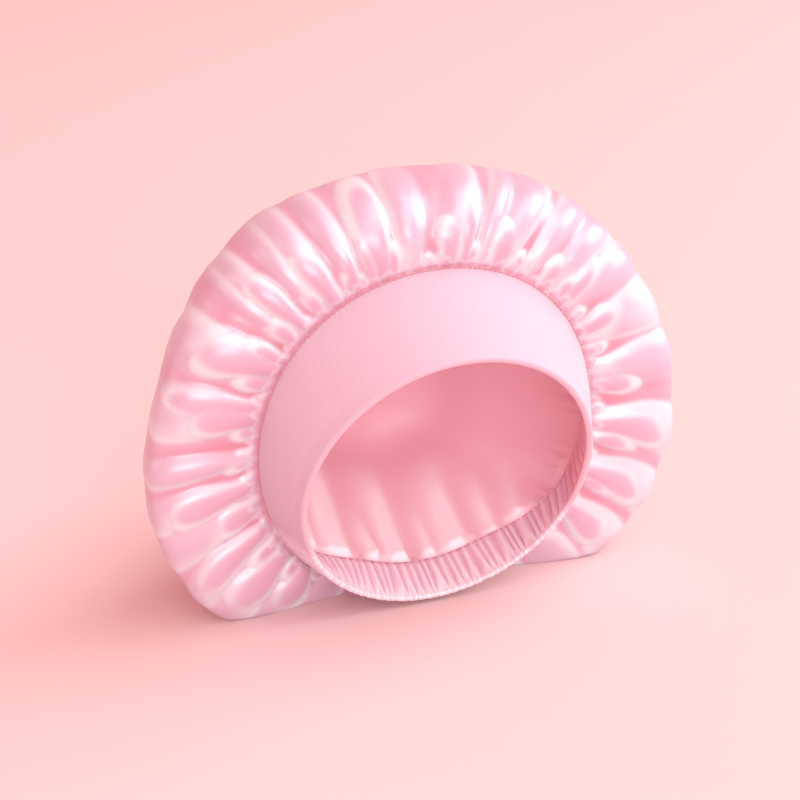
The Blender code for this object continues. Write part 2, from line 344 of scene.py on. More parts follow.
def raise_threads(material, shader, height, distance):
    """Tilt the surface's normals as if it rose by the distance (metres) where the height is 1."""
    bump = node(material, "ShaderNodeBump",
                {"Height": height, "Strength": BUMP_STRENGTH, "Distance": distance})
    feed(material, shader, {"Normal": bump.outputs["Normal"]})


def let_light_through(material, shader, colour, share):
    """Thin cloth glows with the light behind it: a share of a Translucent shader, mixed into the cloth's."""
    glow = node(material, "ShaderNodeBsdfTranslucent", {"Color": colour})
    mix = node(material, "ShaderNodeMixShader",
               {0: share, 1: shader.outputs["BSDF"], 2: glow.outputs["BSDF"]})
    feed(material, material.node_tree.nodes["Material Output"], {"Surface": mix.outputs["Shader"]})


# %% Satin
SATIN_GLOW = {"IOR": 1.85, "Sheen Weight": 0.25, "Sheen Roughness": 0.4}
THREADS = {"Scale": (700.0, 5200.0, 1.0)}  # waves of noise a metre, round the mouth and away from it
THREAD_TINT, THREAD_STREAK, THREAD_RELIEF = 0.16, 0.06, 0.00004  # paler, rougher or smoother, metres


def thread_noise(material):
    """Noise on the piece's own cloth, drawn out along the threads, which lie round the mouth."""
    drawn_out = node(material, "ShaderNodeMapping", {"Vector": cloth_place(material), **THREADS})
    noise = node(material, "ShaderNodeTexNoise",
                 {"Vector": drawn_out.outputs["Vector"], "Scale": 1.0, "Detail": 2.0}, noise_dimensions="2D")
    return noise.outputs["Fac"]


def satin(name, colour, pale, roughness, gloss, through):
    """Satin with painted shade, deeper and warmer, in its valleys, a painted highlight on its fold rims, and
    threads.
    """
    material, shader = new_material(name, colour, roughness, {"Specular IOR Level": gloss, **SATIN_GLOW})
    # painted shade in the valleys, then a painted highlight on the rims, mixed into the body colour
    body = mixed(material, painted(material, "valley"), colour, PAINTED_VALLEY_SHADE)
    body = mixed(material, painted(material, "rim"), body, pale)
    threads = thread_noise(material)
    feed(material, shader, {
        "Base Color": mixed(material, between(material, threads, 0.0, THREAD_TINT), body, pale),
        "Roughness": between(material, threads, roughness - THREAD_STREAK, roughness + THREAD_STREAK)})
    raise_threads(material, shader, threads, THREAD_RELIEF)
    let_light_through(material, shader, colour, through)
    return material


crown_satin = satin("crown_satin", CROWN_PINK, CROWN_PAINTED_HIGHLIGHT, roughness=0.30, gloss=0.8, through=0.20)
lining_satin = satin("lining_satin", LINING_SALMON, LINING_PAINTED_HIGHLIGHT, roughness=0.46, gloss=0.3, through=0.05)
casing_satin = satin("casing_satin", CASING_PINK, CASING_PAINTED_HIGHLIGHT, roughness=0.30, gloss=0.8, through=0.15)

# %% The band's cloth and the thread
BAND_ROUGHNESS, BAND_THROUGH, BAND_NAP = 0.72, 0.12, {"Sheen Weight": 0.35, "Sheen Roughness": 0.5}
TWILL = {"Scale": 260.0, "Distortion": 2.6, "Detail": 2.0}
TWILL_PALER, TWILL_RELIEF = 1.06, 0.00014
THREAD_ROUGHNESS, THREAD_TWIST = 0.6, 1900.0


def band_cloth(name, colour, lining):
    """Matt cloth with a fine diagonal rib, a wave that noise breaks up, lined in another colour."""
    material, shader = new_material(name, colour, BAND_ROUGHNESS, BAND_NAP)
    ribs = node(material, "ShaderNodeTexWave", {"Vector": cloth_place(material), **TWILL},
                bands_direction="DIAGONAL").outputs["Fac"]
    paler = tuple(min(1.0, part * TWILL_PALER) for part in colour)
    tint = mixed(material, painted(material, "inside"), mixed(material, ribs, colour, paler), lining)
    feed(material, shader, {"Base Color": tint})
    raise_threads(material, shader, ribs, TWILL_RELIEF)
    let_light_through(material, shader, colour, BAND_THROUGH)
    return material


def twisted_thread(name, colour, pale):
    """Thread is twisted from finer ones: noise half a millimetre long makes it paler and deeper by turns."""
    material, shader = new_material(name, colour, THREAD_ROUGHNESS, {})
    place = node(material, "ShaderNodeTexCoord", {}).outputs["Object"]
    twist = node(material, "ShaderNodeTexNoise", {"Vector": place, "Scale": THREAD_TWIST}).outputs["Fac"]
    feed(material, shader, {"Base Color": mixed(material, twist, colour, pale)})
    return material


band_matt = band_cloth("band_matt", BAND_PINK, BAND_SALMON)
thread = twisted_thread("salmon_thread", THREAD_DEEP, THREAD_PALE)
print("cloths:", [cloth.name for cloth in (crown_satin, lining_satin, casing_satin, band_matt, thread)])

# %% [markdown]
# ## The crown
#
# The crown is one big round of satin, drawn in to less than half its edge where it meets the band. So its
# shape is a smooth bag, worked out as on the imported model, with three sets of folds on it.

# %% The smooth bag under the folds
SEWN_GAP = 0.0003  # metres between two pieces that are sewn together
CROWN_RISE, CROWN_DEPTH = 0.0031, 0.142
FRONT_ROUNDNESS, FRONT_PUFF = 2.2, 0.007
NAPE_HOLLOW, NAPE_HOLLOW_RAMP = math.radians(115), math.radians(35)
ELASTIC_LIFT, ELASTIC_FROM, ELASTIC_RAMP = 0.0160, math.radians(112), math.radians(45)
CROWN_MIDDLE = MOUTH_MIDDLE + np.array((0.0, 0.0, CROWN_RISE))
#               angle radius  behind
FULLEST_RING = ((0,   0.1666, 0.0698),
                (30,  0.1712, 0.0657),
                (60,  0.1679, 0.0522),
                (90,  0.1657, 0.0462),
                (120, 0.1550, 0.0485),
                (150, 0.1312, 0.0557),
                (180, 0.1099, 0.0634))


def seam_line(angle, outward, behind):
    """Points round the seam, some way outward from the band's outer face and behind its back edge."""
    width = band_width(angle)
    return mouth_to_world(round_the_mouth(angle, RIM_RADIUS + BAND_FLARE * width + outward, width + behind))


def inner_lift(angle):
    """How far the elastic draws the casing's inner back edge in towards the axis, most of it at the nape."""
    return ELASTIC_LIFT * rises(np.abs(wrapped(angle)), ELASTIC_FROM, ELASTIC_RAMP)


def smooth_bag(angle, share):
    """The bag's surface: share 0 at the seam, 1 at the fullest ring and 2 at the middle of the back.

    Each meridian is a quarter of a superellipse to the ring, and a quarter of an ellipse from there to the
    back. The front quarter is pushed forward by a parabola, and turned inside out where the nape is hollow.
    """
    seam = seam_line(angle, SEWN_GAP, SEWN_GAP) - CROWN_MIDDLE
    edge_angle, edge_radius = np.arctan2(seam[..., 0], seam[..., 2]), np.hypot(seam[..., 0], seam[..., 2])
    ring_radius = from_table(FULLEST_RING, 1, angle)
    ring_depth = from_table(FULLEST_RING, 2, angle)
    hollow = rises(np.abs(wrapped(angle)), NAPE_HOLLOW, NAPE_HOLLOW_RAMP)

    front = np.clip(share, 0.0, 1.0)
    turn = front * math.pi / 2
    power = 2 / FRONT_ROUNDNESS
    widen = np.sin(turn) ** power * (1 - hollow) + (1 - np.cos(turn)) * hollow
    deepen = np.clip(np.cos(turn), 0, 1) ** power * (1 - hollow) + (1 - np.sin(turn)) * hollow
    puff = FRONT_PUFF * 4 * front * (1 - front) * (1 - hollow)
    front_radius = edge_radius + (ring_radius - edge_radius) * widen
    front_depth = ring_depth - (ring_depth - seam[..., 1]) * deepen - puff
    front_angle = edge_angle + wrapped(angle - edge_angle) * np.sin(turn)

    turn = np.clip(share - 1.0, 0.0, 1.0) * math.pi / 2
    back_radius = ring_radius * np.clip(np.cos(turn), 0, 1)
    back_depth = ring_depth + (CROWN_DEPTH - ring_depth) * np.sin(turn)
    in_front = share < 1.0
    return round_the_mouth(np.where(in_front, front_angle, angle),
                           np.where(in_front, front_radius, back_radius),
                           np.where(in_front, front_depth, back_depth)) + CROWN_MIDDLE


# %% [markdown]
# Every fold is one row of a table, read off the bonnet. Long folds run from the seam over the fullest
# ring. Tongues lie on them and end part of the way up in a round toe, and puffs fill the seam. Each fold is
# an arch, round on its crest and steep at its edges, and the crown is whatever stands highest at each place.
# So two folds meet in a crease, and a short fold has a pale loop painted on the long one under it: a painted
# highlight.

# %% The table of folds: degrees round the mouth, shares of the way to the fullest ring, and millimetres
#       root    toe at  left right toe height painted-highlight flank (-1 left, 1 right, 0 both)
FOLDS = (
    # whole bag: long folds that reach the fullest ring and go over it
    (-161.0, -161.5, 5.5, 5.5, 1.75, 1.4, -1),
    (-147.0, -149.0, 6.0, 6.0, 1.75, 1.4, -1),
    (-134.5, -139.0, 5.0, 5.4, 1.70, 1.8, -1),
    (-123.5, -129.0, 5.8, 5.6, 1.75, 1.9, -1),
    (-112.5, -122.0, 5.0, 4.6, 1.60, 2.1, -1),
    (-102.5, -105.0, 5.2, 5.4, 1.45, 1.4, -1),
    ( -94.2,  -97.0, 4.6, 4.2, 1.50, 1.5, -1),
    ( -85.0,  -85.8, 3.4, 3.6, 1.37, 2.1, -1),
    ( -73.0,  -72.6, 5.6, 5.2, 1.50, 1.5, -1),
    ( -58.0,  -55.5, 5.6, 5.6, 1.55, 2.0,  1),
    ( -46.8,  -42.8, 1.8, 2.0, 1.45, 1.0,  1),
    ( -41.8,  -41.6, 3.2, 2.6, 1.47, 1.7,  1),
    ( -36.4,  -32.0, 2.2, 3.0, 1.35, 1.3,  1),
    ( -31.4,  -29.6, 3.2, 3.4, 1.50, 2.2,  1),
    ( -24.0,  -22.0, 2.6, 3.0, 1.40, 1.7,  1),
    ( -15.6,  -12.4, 4.2, 3.0, 0.96, 2.7,  0),
    (  -7.6,   -3.0, 3.8, 4.6, 1.40, 2.3, -1),
    (   4.4,   15.0, 5.0, 3.6, 1.45, 2.3,  1),
    (  12.4,   24.0, 2.6, 2.8, 1.40, 2.0, -1),
    (  20.0,   33.0, 4.6, 3.8, 1.45, 2.2,  1),
    (  29.0,   42.0, 3.4, 3.6, 1.45, 2.1, -1),
    (  38.0,   47.5, 4.0, 4.2, 1.45, 2.0,  1),
    (  47.6,   55.0, 4.4, 4.6, 1.50, 2.1, -1),
    (  60.5,   64.5, 6.6, 6.2, 1.55, 2.4,  0),
    (  74.5,   76.5, 6.6, 5.6, 1.45, 2.2, -1),
    (  91.5,   98.0, 6.8, 6.0, 1.60, 2.3,  0),
    ( 107.0,  114.0, 6.2, 5.6, 1.60, 2.2,  0),
    ( 121.0,  127.0, 5.4, 5.6, 1.60, 2.2,  0),
    ( 134.0,  137.0, 5.6, 5.6, 1.70, 1.7, -1),
    ( 148.0,  149.0, 5.8, 5.8, 1.75, 1.4, -1),
    ( 161.0,  161.5, 5.5, 5.5, 1.75, 1.4, -1),
    # tongues that end part of the way up
    (-134.5, -137.0, 4.4, 4.6, 0.72, 2.8, -1),
    (-123.8, -124.6, 4.8, 5.0, 0.70, 3.0, -1),
    (-111.0, -115.4, 4.2, 3.6, 0.76, 3.2, -1),
    ( -94.4,  -95.2, 4.2, 3.8, 0.69, 3.0, -1),
    ( -72.4,  -73.0, 4.6, 4.2, 0.54, 3.3, -1),
    ( -69.2,  -68.6, 3.0, 2.8, 0.90, 2.3, -1),
    ( -57.0,  -58.8, 4.6, 4.8, 0.72, 3.4,  0),
    ( -42.0,  -41.7, 2.7, 2.7, 0.69, 3.2,  0),
    ( -31.2,  -31.7, 3.3, 3.3, 0.56, 3.5,  0),
    ( -23.8,  -23.0, 2.0, 1.6, 0.39, 2.5,  1),
    ( -19.2,  -18.6, 1.7, 1.7, 0.36, 2.1,  1),
    (   7.4,    8.6, 2.4, 2.2, 0.61, 2.8,  0),
    (  45.6,   44.2, 2.6, 2.2, 0.38, 2.5,  1),
    (  91.6,   95.0, 5.0, 4.2, 0.66, 3.4,  0),
    ( 107.6,  110.6, 4.4, 4.0, 0.62, 3.3,  0),
    ( 121.4,  124.4, 4.2, 4.0, 0.64, 3.2,  0),
    # puffs at the seam
    (-140.0, -140.5, 3.0, 3.0, 0.22, 1.1,  0),
    (-130.5, -131.0, 2.8, 2.8, 0.24, 1.2,  0),
    (-118.5, -119.0, 2.6, 2.8, 0.22, 1.3,  0),
    (-111.6, -112.4, 2.6, 2.4, 0.25, 1.5, -1),
    (-102.0, -103.4, 4.4, 4.2, 0.33, 2.9, -1),
    ( -93.6,  -94.6, 3.4, 3.2, 0.12, 1.6,  0),
    ( -84.8,  -86.4, 3.4, 3.2, 0.17, 1.7,  0),
    ( -76.2,  -76.6, 3.1, 2.9, 0.15, 1.7,  0),
    ( -69.2,  -69.2, 2.4, 2.3, 0.14, 1.6,  0),
    ( -62.0,  -62.2, 2.7, 2.7, 0.24, 1.7,  0),
    ( -53.6,  -53.5, 2.6, 2.5, 0.30, 2.5,  1),
    ( -46.8,  -46.5, 2.7, 2.5, 0.26, 1.8,  1),
    ( -41.7,  -41.8, 2.3, 2.3, 0.11, 1.4,  0),
    ( -36.1,  -36.0, 2.2, 2.2, 0.25, 1.7,  1),
    ( -30.8,  -30.9, 2.4, 2.4, 0.18, 1.6,  0),
    ( -25.8,  -25.6, 1.4, 1.4, 0.17, 1.2,  0),
    ( -22.4,  -22.4, 1.3, 1.3, 0.12, 1.0,  0),
    ( -18.6,  -18.6, 1.8, 1.7, 0.14, 1.2,  0),
    ( -13.2,  -13.0, 3.0, 2.8, 0.26, 1.8,  1),
    (  -7.0,   -7.2, 2.7, 2.6, 0.20, 1.7,  0),
    (  -2.6,   -2.6, 1.6, 1.5, 0.10, 1.0,  0),
    (   3.2,    3.5, 3.7, 3.4, 0.41, 3.0,  0),
    (   1.4,    1.2, 1.7, 1.5, 0.12, 1.4,  0),
    (   5.8,    6.0, 1.6, 1.7, 0.13, 1.4,  0),
    (   9.6,    9.8, 1.6, 1.6, 0.16, 1.2,  0),
    (  13.2,   13.2, 2.2, 2.0, 0.16, 1.4,  0),
    (  18.4,   18.2, 4.2, 3.8, 0.36, 2.9,  0),
    (  19.6,   19.8, 2.2, 2.0, 0.12, 1.4,  0),
    (  24.2,   24.4, 2.0, 2.0, 0.15, 1.4,  0),
    (  29.0,   29.2, 2.4, 2.4, 0.22, 1.7,  0),
    (  36.6,   36.2, 3.6, 3.2, 0.23, 2.0,  0),
    (  42.6,   42.4, 2.4, 2.2, 0.18, 1.6,  0),
    (  48.4,   48.6, 2.6, 2.6, 0.12, 1.4,  0),
    (  52.8,   52.4, 1.8, 1.8, 0.10, 1.0,  0),
    (  58.4,   58.4, 3.8, 3.4, 0.32, 3.1,  0),
    (  62.2,   62.2, 1.8, 1.8, 0.20, 1.8,  0),
    (  66.2,   66.0, 2.4, 2.4, 0.13, 1.5,  0),
    (  73.4,   74.2, 3.2, 3.0, 0.15, 1.7,  0),
    (  78.8,   79.6, 4.2, 3.6, 0.31, 3.0,  0),
    (  87.0,   87.0, 2.2, 2.2, 0.08, 1.0,  0),
    (  96.6,   98.2, 2.8, 2.4, 0.32, 2.6, -1),
    ( 103.0,  103.0, 2.2, 2.2, 0.10, 1.0,  0),
    ( 111.0,  112.6, 2.2, 1.9, 0.30, 2.5, -1),
    ( 117.4,  117.6, 2.0, 2.0, 0.12, 1.1,  0),
    ( 130.5,  131.0, 2.8, 2.8, 0.24, 1.2,  0),
    ( 140.0,  140.5, 3.0, 3.0, 0.22, 1.1,  0),
)
print("folds:", len(FOLDS))

# %% One fold, and the small puffs at the seam
FLOOR_DEPTH, SHORT_BASE = 2.4, 0.8  # millimetres: the valleys' floor down, the short folds' foot up
LONG_ROOT, SHORT_ROOT = 0.85, 0.62  # how much of its full width a fold has at the seam
LONG_WIDE_AT, SHORT_WIDE_AT = 0.42, 0.7  # where it has all of it: share, and share of a short fold
TURN_POWER, TURN_LIMIT = 1.5, 1.2
OUTLINE_POWER, OUTSIDE_DROP = 2.1, 3.0
CLIMB_START, CLIMB_SHARE = 0.30, 0.08
PUFFS, PUFF_HEIGHT, PUFF_TOE = 84, 1.7, 0.10
PUFF_WANDER, PUFF_UNEVENNESS, PUFF_SINK = 0.35, 0.4, 4.0
LOOP_REACH, LOOP_LINE, LOOP_WIDTH = 0.8, 0.7, 0.24


def one_fold(row, angle, share):
    """A fold's height b + (h - b) (1 - e) in millimetres, d, and its outline e = |d| ^ 2.1 + a ^ 2.1.

    d is degrees off the fold's middle line over its half width on that side, and a is how far into its round
    toe a point is. The middle line turns from the root to the toe as (share / toe) ^ 1.5. A long fold stands
    on the floor of the valleys, b = -2.4, and a short one on the long ones, b = 0.8. Outside its outline a
    fold drops 3 mm more for each 1 of e. Its round toe is 0.1 + 0.4 toe long, and at most 0.75 toe.
    """
    root, end, left, right, toe, height, _ = row
    root_width, base = (LONG_ROOT, -FLOOR_DEPTH) if toe > 1.0 else (SHORT_ROOT, SHORT_BASE)
    middle = root + (end - root) * np.minimum(share / toe, TURN_LIMIT) ** TURN_POWER
    off = np.degrees(wrapped(angle - np.radians(middle)))
    widening = root_width + (1 - root_width) * rises(share, 0.0, min(LONG_WIDE_AT, SHORT_WIDE_AT * toe))
    off = off / (np.where(off < 0, left, right) * widening)
    toe_length = min(0.10 + 0.40 * toe, 0.75 * toe)
    into_toe = np.maximum(share - (toe - toe_length), 0.0) / toe_length
    outline = np.abs(off) ** OUTLINE_POWER + into_toe ** OUTLINE_POWER
    climb = smooth_step(CLIMB_START + (1 - CLIMB_START) * share / min(CLIMB_SHARE, 0.5 * toe))
    arch = base + (height - base) * (1.0 - outline) - OUTSIDE_DROP * np.maximum(outline - 1.0, 0.0)
    return climb * arch, off, outline


def seam_puffs(angle, share):
    """Small arches |sin| ^ 0.9 side by side along the seam, uneven in width, which sink within 7 to 15 mm.

    A painted highlight loop lies where 1 less the arch, and (share / 0.8 reach) ^ 2, add up to nearly 0.7.
    """
    wander = PUFF_WANDER * smooth_noise(angle, 0.0, (5, 17), (0, 0), 4)
    reach = PUFF_TOE * (1.0 + PUFF_UNEVENNESS * smooth_noise(angle, 0.0, (9, 31), (0, 0), 5))
    wave = np.abs(np.sin(PUFFS / 2 * angle + wander)) ** 0.9
    loop = bell(1.0 - wave + (share / (LOOP_REACH * reach)) ** 2, LOOP_LINE, LOOP_WIDTH)
    return PUFF_HEIGHT * rises(share, 0.0, 0.02) * wave - PUFF_SINK * smooth_step(share / reach), loop


# %% How the folds join, and where highlight and shade are painted on them
CREASE_SEAM, CREASE_RING = 0.30, 0.80  # how softly two folds meet, at the seam and more at the ring
CREST_PAINTED_HIGHLIGHT = 0.65  # how strongly the highlight is painted on the crest of a long fold that is lit on both flanks
RIM_WIDTH = 1.50  # millimetres of height over which a painted highlight rim fades inwards
# how strongly the highlight is painted on a fold that is lit on both flanks
BOTH_LIT = 0.9
LOWEST = -20.0  # millimetres, below which a fold has no share in the sum
RING_FOLDS, RING_HEIGHT, SLACK_HEIGHT = 9.5, 3.6, 3.4


def soft_maximum(heights, softness):
    """The soft maximum c ln(sum of e^(z / c)) of a stack of heights, and each one's share of the sum."""
    powers = np.exp(heights / softness)
    total = powers.sum(axis=0)
    return softness * np.log(total), powers / total


def painted_highlight_and_shade(row, share, off, outline, near, wide):
    """Where a highlight is painted on a fold, and where shade is painted on the cloth beside it.

    A fold's near share of the sum changes fast where it meets another, and its wide share slowly. So a
    painted highlight rim is crisp on the outside and fades inwards. Shade is painted on the cloth just
    outside a short fold, and on its middle.
    """
    *_, toe, _, flank = row
    lit = 0.5 + 0.5 * np.clip(off * flank / 0.5, -1.0, 1.0) if flank else BOTH_LIT
    inside = rises(near, 0.25, 0.45)
    if toe > 1.0:
        crest = CREST_PAINTED_HIGHLIGHT * inside * bell(share, 0.6, 0.24) if flank == 0 else 0.0
        return np.maximum(inside * falls(wide, 0.42, 0.45) * (0.1 + 0.8 * lit), crest), 0.0
    outside = rises(wide, 0.1, 0.25) * falls(near, 0.15, 0.3)
    hollow = 0.8 * inside * falls(outline, 0.05, 0.50)
    return inside * rises(outline, 0.34, 0.40) * (0.6 + 0.4 * lit), np.maximum(outside, hollow)


def back_waves(angle, share):
    """Millimetres of slack in the back of the bag: soft arches |sin 9.5 a| from the ring, which die out."""
    wander = 0.5 * smooth_noise(angle, share, (2, 6), (-3, 3), 41)
    folds = np.abs(np.sin(RING_FOLDS * angle + 3.0 * wander + 0.6 * (share - 1.0))) - 0.6
    slack = smooth_noise(angle, 5.0 * share, (2, 6), (-1.4, 1.4), 42)
    reach = 1.66 + 0.20 * smooth_noise(angle, 0.0, (3, 9), (0, 0), 43)
    window = rises(share, 0.95, 0.35) * falls(share, reach - 0.5, 0.5)
    slack = slack * rises(share, 1.0, 0.3) * falls(share, 1.5, 0.5)
    return RING_HEIGHT * folds * window + SLACK_HEIGHT * slack


def blurred(values):
    """Each value averaged with its neighbours, 1/4, 1/2, 1/4, round the mouth and then away from it."""
    values = (np.roll(values, 1, axis=1) + 2 * values + np.roll(values, -1, axis=1)) / 4
    values[1:-1] = (values[:-2] + 2 * values[1:-1] + values[2:]) / 4
    return values


def folded(angle, share):
    """Metres from the smooth bag to the folded cloth, and the highlight and the shade painted on each place.
    """
    crease = CREASE_SEAM + CREASE_RING * np.minimum(share, 1.2) ** 1.4
    floor = -FLOOR_DEPTH * (0.25 + 0.75 * rises(share, 0.0, 0.45)) * falls(share, 0.75, 0.85)
    arches = [one_fold(row, angle, share) for row in FOLDS]
    puffs, loop = seam_puffs(angle, share)
    heights = np.maximum(np.stack([floor, puffs] + [arch for arch, _, _ in arches]), LOWEST)
    height, near = soft_maximum(heights, crease)
    _, wide = soft_maximum(heights, crease + RIM_WIDTH)
    # painted highlight: pale loops on the seam puffs, then the lit rims of every fold
    rim = 0.8 * loop * rises(share, 0.0, 0.03) * falls(share, 0.06, 0.10)
    # painted shade: on the valleys' floor, and beside and inside the short folds
    painted_shade = rises(wide[0], 0.15, 0.6)
    for row, (_, off, outline), near_share, wide_share in zip(FOLDS, arches, near[2:], wide[2:]):
        pale, outside = painted_highlight_and_shade(row, share, off, outline, near_share, wide_share)
        rim = np.maximum(rim, pale)
        painted_shade = np.maximum(painted_shade, 0.45 * outside * falls(share, 0.0, 0.8))
    fade = smooth_step(share / 0.035 + 0.25) * (1.0 - 0.66 * rises(share, 0.60, 0.45))
    fade = fade * falls(share, 1.25, 0.6)
    rim = rim * falls(share, 0.95, 0.4)
    # the painted shade fades away from the seam, and lies darkest in the crease right at the seam
    painted_shade = painted_shade * rises(share, 0.0, 0.05) * (1.0 - 0.5 * rises(share, 0.3, 0.8))
    painted_shade = np.maximum(painted_shade * falls(share, 1.0, 0.6), 0.6 * falls(share, 0.0, 0.025))
    height = (height * fade + back_waves(angle, share)) / 1000
    return blurred(height), blurred(rim), blurred(painted_shade)


# %% A bag: a grid whose last row is drawn together in one point
CLOTH_ROUND, CLOTH_ALONG = 0.85, 0.11  # metres of cloth once round the bag, and from the seam to the ring


def bag_grid(columns, front_rows, back_rows):
    """The angle and the share of every point, with the rows closer together at the seam, and its UV."""
    front = np.linspace(0.0, 1.0, front_rows + 1) ** 1.2
    back = 1.0 + np.linspace(0.0, 1.0, back_rows + 1)[1:]
    share = np.concatenate((front, back))[:, None]
    angle = np.linspace(-math.pi, math.pi, columns, endpoint=False)[None, :]
    angle, share = np.broadcast_arrays(angle, share)
    uv = np.stack(((angle + math.pi) / (2 * math.pi) * CLOTH_ROUND, share * CLOTH_ALONG), axis=-1)
    return angle, share, uv


def one_point_back(values):
    """A grid's values, with its last row drawn together in one."""
    return np.concatenate((values[:-1].reshape(-1, *values.shape[2:]), values[-1].mean(axis=0)[None]))


def closed_bag(name, points, material, uv, rim, valley):
    """A bag with its back closed, with a highlight painted on its rims and shade painted in its valleys."""
    rows, columns = points.shape[:2]
    quads = grid_faces(rows - 1, columns)
    last = (rows - 2) * columns + np.arange(columns)
    fan = np.stack((last, np.roll(last, -1), np.full(columns, (rows - 1) * columns)), axis=1)
    faces = quads.tolist() + fan.tolist()
    bag = new_piece(name, one_point_back(points), faces, material, one_point_back(uv), CLOTH_ROUND)
    paint(bag, "rim", one_point_back(rim))
    paint(bag, "valley", one_point_back(valley))
    return bag


# %% The crown's surface
CROWN_COLUMNS, CROWN_FRONT_ROWS, CROWN_BACK_ROWS = 860, 84, 30
SOLE_LIFT, SOLE_SOFTNESS = 0.020, 0.006  # metres off the floor: folds are whole above, cloth lies down below
TUCKED_IN, TUCKED_FORWARD = 0.0012, 0.0008


def rest_on_floor(height, softness):
    """Heights with whatever is below the floor laid on it: a parabola from the floor up to the old height."""
    blend = (height + softness) ** 2 / (4.0 * softness)
    return np.where(height > softness, height, np.where(height < -softness, 0.0, blend))


def crown_points(angle, share):
    """The bag with its folds added along its normals, laid on the floor where it would go through it.

    Its painted highlights and painted shade come with it, for the satin.
    """
    bag = smooth_bag(angle, share)
    folds, rim, valley = folded(angle, share)
    free = smooth_step(bag[..., 2] / SOLE_LIFT)
    points = bag + normals_of(bag) * (folds * free)[..., None]
    height = points[..., 2]
    laid = rest_on_floor(height, SOLE_SOFTNESS) - height
    points[..., 2] = np.maximum(height + rises(share, 0.0, 0.3) * laid, 0.0)
    points[0] = seam_line(angle[0], -TUCKED_IN, -TUCKED_FORWARD)
    return points, rim, valley


angle, share, uv = bag_grid(CROWN_COLUMNS, CROWN_FRONT_ROWS, CROWN_BACK_ROWS)
points, rim, valley = crown_points(angle, share)
crown = closed_bag("crown_satin_folds", points, crown_satin, uv, rim, valley)
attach(crown, "root")
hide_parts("crown")

# %% [markdown]
# ## The lining
#
# The lining is a second, plainer bag of salmon satin, sewn to the same seam. It is much smaller than the
# crown and hangs free inside it, as a low dome. What shows through the mouth is its inner face: small puffs
# along the elastic, and soft folds that rise side by side from them, pale with a painted highlight. Shade is
# painted in the troughs of the small gathers. So it is a smooth dome with waves on it that die out on the way
# to its middle, the fine ones first.

# %% The lining's surface
LINING_COLUMNS, LINING_FRONT_ROWS, LINING_BACK_ROWS = 480, 56, 30
LINING_INSET = 0.0090  # from the crown's back to the lining's
HEM_GAP, HEM_FORWARD = 0.0004, 0.0022  # the hem laps the band's inner face
#                waves     metres  share where they die out
LINING_WAVES = (((60, 80), 0.0012, 0.40),
                ((24, 34), 0.0012, 0.90),
                ((9, 17),  0.0016, 1.40))
#                   x      half width reach strength
LINING_STREAKS = ((-0.088, 0.0060, 0.70, 0.6),
                  (-0.070, 0.0060, 1.00, 1.0),
                  (-0.049, 0.0095, 1.45, 1.4),
                  (-0.029, 0.0050, 0.75, 0.8),
                  (-0.010, 0.0080, 1.35, 1.3),
                  (0.009,  0.0050, 0.80, 0.7),
                  (0.027,  0.0085, 1.20, 1.1),
                  (0.048,  0.0060, 0.85, 0.7),
                  (0.066,  0.0060, 0.70, 0.4))
# the third number is how strongly a highlight is painted on each streak
STREAK_RISE, STREAK_PAINTED_HIGHLIGHT, LEFT_SLOPE, RIGHT_SLOPE = 0.0034, 1.3, 0.75, 1.7
LOW_FROM, LOW_RAMP = math.radians(95), math.radians(30)  # the lower part, where the elastic gathers it


def low_dome(hem, pole, share):
    """From half a line and half an ellipse at the hem, to a quarter of an ellipse alone at the pole."""
    turn = np.clip(share / 2.0, 0.0, 1.0)[..., None] * math.pi / 2
    corner = np.stack(np.broadcast_arrays(pole[0], hem[..., 1], pole[2]), axis=-1)
    ellipse = corner + (hem - corner) * np.cos(turn) + (pole - corner) * np.sin(turn)
    line = hem + (pole - hem) * np.sin(turn) ** 1.3
    return ellipse + (line - ellipse) * 0.5 * (1.0 - smooth_step(share - 0.8))[..., None]


def streaks_on(points, share):
    """Soft folds that rise side by side from the elastic, each steeper on its right, dying out on the way."""
    total = np.zeros(share.shape)
    for middle, half, reach, strength in LINING_STREAKS:
        off = (points[..., 0] - middle) / (half * (0.7 + 0.6 * share))
        off = np.where(off < 0, off * LEFT_SLOPE, off * RIGHT_SLOPE)
        run = rises(share, 0.0, 0.06) * falls(share / reach, 0.15, 0.85)
        total += strength * np.exp(-off ** 2) * run
    return total


def lining_points(angle, share):
    """A low dome from the hem to a pole just inside the crown's, with gathers and streaks drawn in.

    The highlight and the shade painted on each point come with it.
    """
    hem = seam_line(angle, -BAND_WALL - HEM_GAP - inner_lift(angle), -HEM_FORWARD)
    pole = smooth_bag(angle[-1:], share[-1:])[0].mean(axis=0) - np.array((0.0, LINING_INSET, 0.0))
    points = low_dome(hem, pole, share)
    gathers = np.zeros(share.shape)
    for index, (waves, size, reach) in enumerate(LINING_WAVES):
        wave = smooth_noise(angle, share, waves, (-1.5, 1.5), 11 + index) + 0.3
        gathers += size * wave * rises(share, 0.0, 0.10) * falls(share, 0.0, reach)
    low = rises(np.abs(wrapped(angle)), LOW_FROM, LOW_RAMP)
    streak = streaks_on(points, share) * low
    points = points - normals_of(points) * (gathers + STREAK_RISE * streak)[..., None]
    # painted highlight on the streaks and on the gathers' crests near the elastic, painted shade in their
    # troughs
    crest = smooth_step(gathers / 0.0012) * falls(share, 0.0, 0.3)
    paler = STREAK_PAINTED_HIGHLIGHT * streak + (0.2 * falls(share, 0.0, 1.1) + 0.15 * crest) * low
    deeper = 0.5 * smooth_step(-gathers / 0.0010) * falls(share, 0.0, 0.5) * low
    return points + (hem - points) * falls(share, 0.0, 0.04)[..., None], np.clip(paler, 0.0, 1.0), deeper


